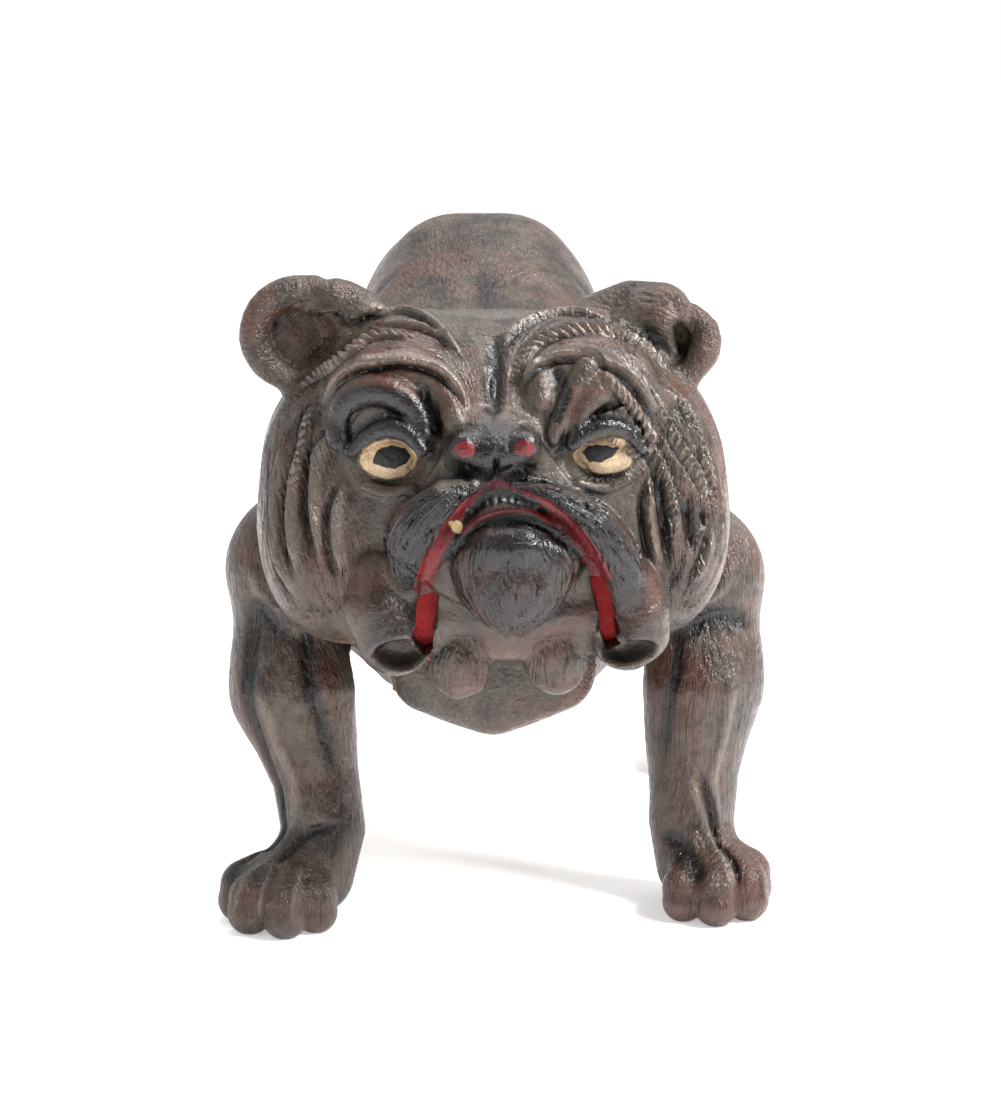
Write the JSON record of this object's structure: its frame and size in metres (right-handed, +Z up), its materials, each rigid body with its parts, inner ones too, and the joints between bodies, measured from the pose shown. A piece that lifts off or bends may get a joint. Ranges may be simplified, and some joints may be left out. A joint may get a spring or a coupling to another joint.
{
  "type": "figural animal coin bank",
  "caption": "Hollow cast standing bulldog money box with splayed bowed legs, coin slot across the shoulders, felt-backed mouth corners and a locking hinged trap in the belly.",
  "frame": {"origin": "centre of the box round the dog, on the surface it stands on", "axes": "+Z up, -Y the way the dog faces, +X to the dog's left"},
  "size_m": [0.0918, 0.1492, 0.1075],
  "materials": {
    "bronzed_casting": "dark brown bronzed paint, worn, semi-gloss",
    "red_felt": "matt wool felt",
    "trap_brass": "aged brass",
    "dark_steel": "dull dark steel",
    "spring_bronze": "spring bronze strip"
  },
  "bodies": {
    "bank": {"body_shell": "bronzed_casting", "head_shell": "bronzed_casting", "front_leg_left": "bronzed_casting", "front_leg_right": "bronzed_casting", "hind_leg_left": "bronzed_casting", "hind_leg_right": "bronzed_casting", "tail": "bronzed_casting", "mouth_felt_left": "red_felt", "mouth_felt_right": "red_felt", "trap_frame": "trap_brass", "trap_frame_rivets": "dark_steel", "trap_hinge_pin": "dark_steel"},
    "trap": {"trap_door": "trap_brass", "lock_case": "trap_brass", "lock_case_rivets": "dark_steel", "cam_spring": "spring_bronze", "keyhole_escutcheon": "trap_brass", "escutcheon_pins": "dark_steel"},
    "lock": {"lock_spindle": "trap_brass", "lock_cam": "dark_steel", "cam_nut": "trap_brass"}
  },
  "joints": [
    {"name": "trap_hinge", "type": "hinge", "parent": "bank", "child": "trap", "pos_m": [-0.01188, 0.002, 0.029], "axis": [0, 1, 0], "range_deg": [0, 100]},
    {"name": "lock_turn", "type": "hinge", "parent": "trap", "child": "lock", "pos_m": [0.0028, 0.002, 0.0313], "axis": [0, 0, -1], "range_deg": [0, 90]}
  ]
}
